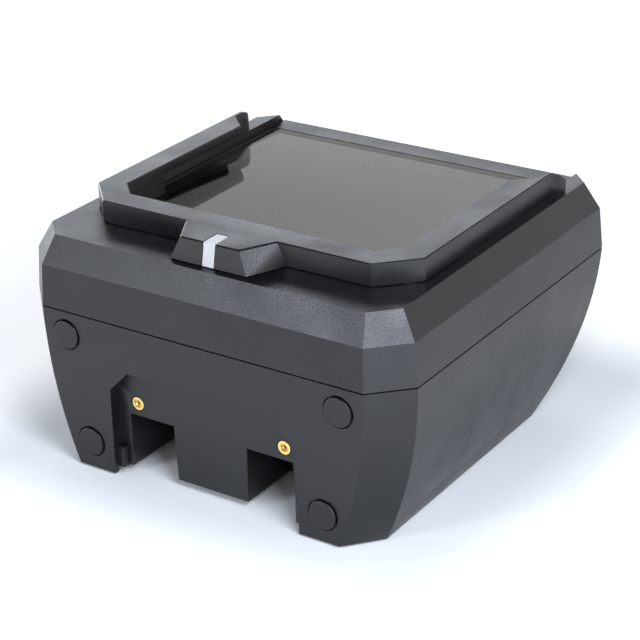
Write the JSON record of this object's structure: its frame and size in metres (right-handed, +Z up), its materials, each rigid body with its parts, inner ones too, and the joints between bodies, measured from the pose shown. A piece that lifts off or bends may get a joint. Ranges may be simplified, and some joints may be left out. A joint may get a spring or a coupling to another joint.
{
  "type": "document reader",
  "caption": "Countertop full-page reader for identity documents: two-part dark housing with cut corners, U-shaped document frame with rail lips over a scan glass, cable recess and rubber pads.",
  "frame": {"origin": "centre of the footprint, on the surface that the rubber feet stand on", "axes": "+X across the reader (its widest extent), +Z up, -Y towards the cable side; documents slide in from +Y"},
  "size_m": [0.153, 0.1492, 0.0909],
  "materials": {
    "housing": "satin moulded ABS with a fine spark-eroded grain",
    "document_frame": "satin moulded ABS, slightly smoother than the housing",
    "light_guide": "milky acrylic",
    "scan_glass": "polished float glass",
    "lens_glass": "polished, coated",
    "brass": "machined, knurled",
    "optics_black": "matt black",
    "diffuser": "milky polycarbonate",
    "led_board": "white solder mask",
    "circuit_board": "green solder mask",
    "ribbon": "polyimide film",
    "plated_metal": "tin-plated sheet",
    "rubber": "matt moulded rubber",
    "screw_steel": "zinc-plated"
  },
  "bodies": {
    "root": {"antenna_board": "circuit_board", "base_cover": "housing", "base_foot_back_left": "rubber", "base_foot_back_right": "rubber", "base_foot_front_left": "rubber", "base_foot_front_right": "rubber", "base_screw_back_left": "screw_steel", "base_screw_back_right": "screw_steel", "base_screw_front_left": "screw_steel", "base_screw_front_right": "screw_steel", "board_screw_back_left": "screw_steel", "board_screw_back_right": "screw_steel", "board_screw_front_left": "screw_steel", "board_screw_front_right": "screw_steel", "buzzer": "optics_black", "camera_board": "circuit_board", "camera_flex": "ribbon", "chamber_screw_back_left": "screw_steel", "chamber_screw_back_right": "screw_steel", "chamber_screw_front_left": "screw_steel", "chamber_screw_front_right": "screw_steel", "data_socket": "plated_metal", "document_frame": "document_frame", "frame_screw_bar_left": "screw_steel", "frame_screw_bar_right": "screw_steel", "frame_screw_nose_left": "screw_steel", "frame_screw_nose_right": "screw_steel", "front_lens": "lens_glass", "glass_gasket": "rubber", "housing_screw_left": "screw_steel", "housing_screw_right": "screw_steel", "led_board_left": "led_board", "led_board_right": "led_board", "led_diffuser_left": "diffuser", "led_diffuser_right": "diffuser", "lens_barrel": "optics_black", "lens_holder": "optics_black", "lower_housing": "housing", "main_board": "circuit_board", "optics_chamber": "optics_black", "power_socket": "optics_black", "processor_shield": "plated_metal", "rubber_pad_lower_left": "rubber", "rubber_pad_lower_right": "rubber", "rubber_pad_upper_left": "rubber", "rubber_pad_upper_right": "rubber", "scan_glass": "scan_glass", "status_light_board": "circuit_board", "status_light_guide": "light_guide", "thread_insert_left": "brass", "thread_insert_right": "brass", "upper_housing": "housing"}
  },
  "joints": []
}
